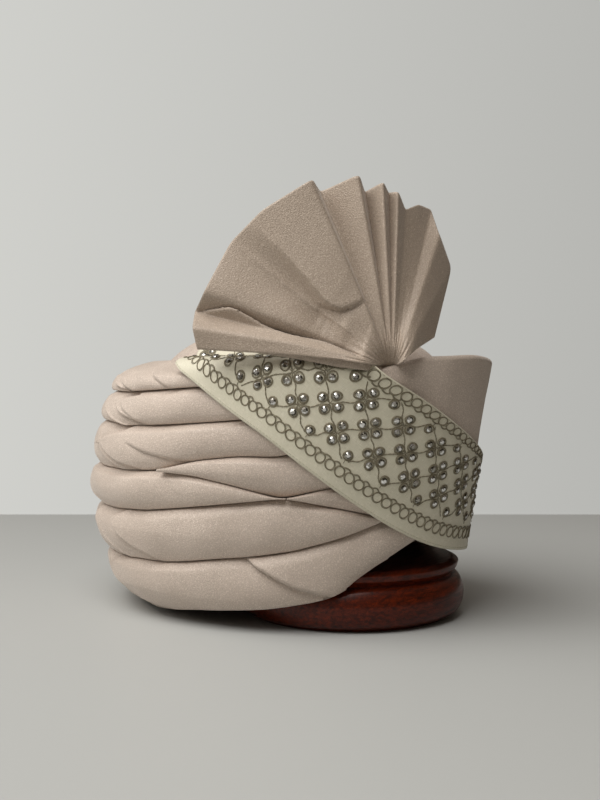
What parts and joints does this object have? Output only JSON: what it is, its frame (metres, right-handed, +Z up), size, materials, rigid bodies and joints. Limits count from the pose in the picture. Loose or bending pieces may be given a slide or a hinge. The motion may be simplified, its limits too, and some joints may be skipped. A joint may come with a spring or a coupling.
{
  "type": "tied turban pagri on a turned wooden stand",
  "caption": "Ready-tied blush silk turban with wound rolls, a tall pleated fan and a wide embroidered band set with cut stones, resting on a low polished wooden stand.",
  "frame": {"origin": "centre of the flat underside of the stand's foot, on the surface that it stands on", "axes": "-Y is the wearer's front, +X the wearer's left side, +Z up"},
  "size_m": [0.2309, 0.2847, 0.2791],
  "materials": {
    "blush_silk": "satin crepe with a fine grainy sheen",
    "cream_silk": "raw silk with thread embroidery and set stones",
    "polished_wood": "dark red-brown polish"
  },
  "bodies": {
    "root": {"stand_foot": "polished_wood", "stand_post": "polished_wood", "crown_cap": "blush_silk", "cap_wall_right": "blush_silk", "cap_wall_left": "blush_silk", "roll_right_bottom": "blush_silk", "roll_right_second": "blush_silk", "roll_right_tuck": "blush_silk", "roll_right_third": "blush_silk", "roll_right_wedge": "blush_silk", "roll_right_fourth": "blush_silk", "roll_right_fifth": "blush_silk", "roll_right_top": "blush_silk", "roll_left_bottom": "blush_silk", "roll_left_second": "blush_silk", "roll_left_third": "blush_silk", "roll_left_fourth": "blush_silk", "roll_left_fifth": "blush_silk", "roll_left_top": "blush_silk", "front_wrap": "blush_silk", "pleated_fan": "blush_silk", "embroidered_band": "cream_silk"}
  },
  "joints": []
}
